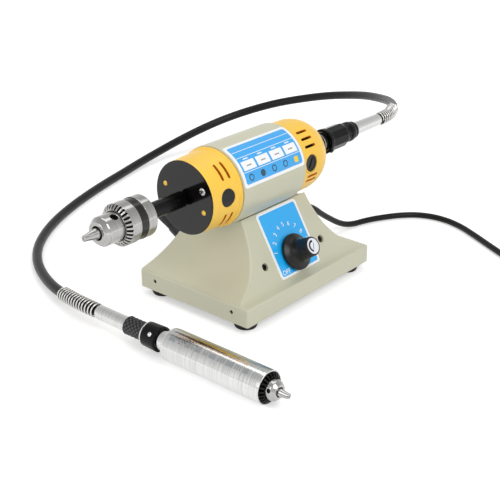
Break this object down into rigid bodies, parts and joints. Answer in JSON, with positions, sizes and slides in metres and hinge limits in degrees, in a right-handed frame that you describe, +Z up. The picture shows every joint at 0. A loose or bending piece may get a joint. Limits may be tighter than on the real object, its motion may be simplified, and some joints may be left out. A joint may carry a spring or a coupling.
{
  "type": "bench buffer",
  "caption": "Bench motor on a flared pedestal, with a speed knob, a keyed chuck on a rod at one end and a flexible shaft to a slim handpiece at the other.",
  "frame": {"origin": "middle of the underside of the box round the buffer and its handpiece without the cords, level with the soles of the rubber feet", "axes": "+X along the motor from the chuck to the flexible shaft, -Y towards the speed knob, +Z up"},
  "size_m": [0.5788, 0.6686, 0.1534],
  "materials": {
    "beige_enamel": "semi-gloss beige enamel on cast and drawn metal",
    "yellow_abs": "moulded yellow plastic",
    "black_plastic": "moulded black plastic",
    "black_gloss": "glossy black plastic",
    "black_rubber": "black rubber",
    "sheath_rubber": "dark grey hose rubber",
    "black_steel": "blackened steel",
    "bright_steel": "satin turned steel",
    "aluminium": "polished turned aluminium",
    "dark_iron": "dark laminated iron and pressed steel",
    "copper": "copper bars and windings",
    "carbon": "pressed carbon",
    "green_board": "green circuit board",
    "blue_print": "printed blue foil with a white border"
  },
  "bodies": {
    "root": {"base_housing": "beige_enamel", "bottom_plate": "dark_iron", "foot_front_near": "black_rubber", "foot_front_far": "black_rubber", "foot_rear_near": "black_rubber", "foot_rear_far": "black_rubber", "panel_label": "blue_print", "potentiometer": "dark_iron", "speed_board": "green_board", "panel_screw_left": "black_steel", "panel_screw_right": "black_steel", "fuse_holder": "black_plastic", "fuse_cap": "black_plastic", "strain_relief": "black_rubber", "power_cord": "black_rubber", "power_cord_coil": "black_rubber", "plug_body": "black_plastic", "motor_housing": "beige_enamel", "motor_label": "blue_print", "front_cap": "yellow_abs", "rear_cap": "yellow_abs", "front_plate": "black_gloss", "plate_screw_upper": "bright_steel", "plate_screw_lower": "bright_steel", "cap_plug_near": "black_plastic", "cap_plug_far": "black_plastic", "brush_cap_near": "black_plastic", "brush_cap_far": "black_plastic", "carbon_brush_near": "carbon", "carbon_brush_far": "carbon", "stator_core": "dark_iron", "front_bearing": "bright_steel", "rear_bearing": "bright_steel", "shaft_nose": "black_steel", "coupling_body": "black_plastic", "shaft_ferrule": "aluminium", "upper_spring_guard": "bright_steel", "flex_sheath": "sheath_rubber", "lower_spring_guard": "bright_steel", "tool_ferrule": "aluminium", "connector_collar": "black_plastic", "handpiece_tube": "aluminium"},
    "rotor": {"motor_shaft": "bright_steel", "armature": "copper", "commutator": "copper", "cooling_fan": "black_plastic", "spindle_rod": "black_steel", "chuck_body": "bright_steel"},
    "chuck_ring": {"chuck_sleeve": "bright_steel"},
    "chuck_jaw_a": {"chuck_jaw_1": "bright_steel"},
    "chuck_jaw_b": {"chuck_jaw_2": "bright_steel"},
    "chuck_jaw_c": {"chuck_jaw_3": "bright_steel"},
    "tool_rotor": {"handpiece_spindle": "bright_steel"},
    "tool_ring": {"handpiece_ring": "black_steel"},
    "tool_jaw_a": {"handpiece_jaw_1": "bright_steel"},
    "tool_jaw_b": {"handpiece_jaw_2": "bright_steel"},
    "tool_jaw_c": {"handpiece_jaw_3": "bright_steel"},
    "knob": {"speed_knob": "black_plastic", "potentiometer_shaft": "bright_steel"},
    "release_sleeve": {"connector_sleeve": "black_plastic"}
  },
  "joints": [
    {"name": "motor_spin", "type": "hinge", "parent": "root", "child": "rotor", "pos_m": [0.007, 0.04204, 0.116], "axis": [1, 0, 0], "continuous": true},
    {"name": "chuck_sleeve_turn", "type": "hinge", "parent": "rotor", "child": "chuck_ring", "pos_m": [-0.1424, 0.04204, 0.116], "axis": [-1, 0, 0], "range_deg": [0, 2940]},
    {"name": "tool_spin", "type": "hinge", "parent": "root", "child": "tool_rotor", "pos_m": [-0.156, -0.09586, 0.0147], "axis": [0, -1, 0], "continuous": true},
    {"name": "tool_ring_turn", "type": "hinge", "parent": "tool_rotor", "child": "tool_ring", "pos_m": [-0.156, -0.09586, 0.0147], "axis": [0, -1, 0], "range_deg": [0, 2160]},
    {"name": "speed_knob_turn", "type": "hinge", "parent": "root", "child": "knob", "pos_m": [0.007, -0.00269, 0.04284], "axis": [0, 0.8583, -0.5131], "range_deg": [0, 300]},
    {"name": "release_sleeve_slide", "type": "slide", "parent": "root", "child": "release_sleeve", "axis": [0, 1, 0], "range_m": [0, 0.004], "stiffness_N_per_m": 400},
    {"name": "chuck_jaw_a_slide", "type": "slide", "parent": "rotor", "child": "chuck_jaw_a", "axis": [0.9816, -0.1903, 0.0133], "range_m": [0, 0.0104]},
    {"name": "chuck_jaw_b_slide", "type": "slide", "parent": "rotor", "child": "chuck_jaw_b", "axis": [0.9816, 0.1067, 0.1582], "range_m": [0, 0.0104]},
    {"name": "chuck_jaw_c_slide", "type": "slide", "parent": "rotor", "child": "chuck_jaw_c", "axis": [0.9816, 0.0836, -0.1715], "range_m": [0, 0.0104]},
    {"name": "tool_jaw_a_slide", "type": "slide", "parent": "tool_rotor", "child": "tool_jaw_a", "axis": [-0.0282, 0.9816, 0.1887], "range_m": [0, 0.006]},
    {"name": "tool_jaw_b_slide", "type": "slide", "parent": "tool_rotor", "child": "tool_jaw_b", "axis": [-0.1493, 0.9816, -0.1188], "range_m": [0, 0.006]},
    {"name": "tool_jaw_c_slide", "type": "slide", "parent": "tool_rotor", "child": "tool_jaw_c", "axis": [0.1775, 0.9816, -0.0699], "range_m": [0, 0.006]}
  ],
  "couplings": [
    {"joint": "tool_spin", "follows": "motor_spin", "ratio": 1},
    {"joint": "chuck_jaw_a_slide", "follows": "chuck_sleeve_turn", "m_per_rad": 0.000202},
    {"joint": "chuck_jaw_b_slide", "follows": "chuck_sleeve_turn", "m_per_rad": 0.000202},
    {"joint": "chuck_jaw_c_slide", "follows": "chuck_sleeve_turn", "m_per_rad": 0.000202},
    {"joint": "tool_jaw_a_slide", "follows": "tool_ring_turn", "m_per_rad": 0.000159},
    {"joint": "tool_jaw_b_slide", "follows": "tool_ring_turn", "m_per_rad": 0.000159},
    {"joint": "tool_jaw_c_slide", "follows": "tool_ring_turn", "m_per_rad": 0.000159}
  ]
}
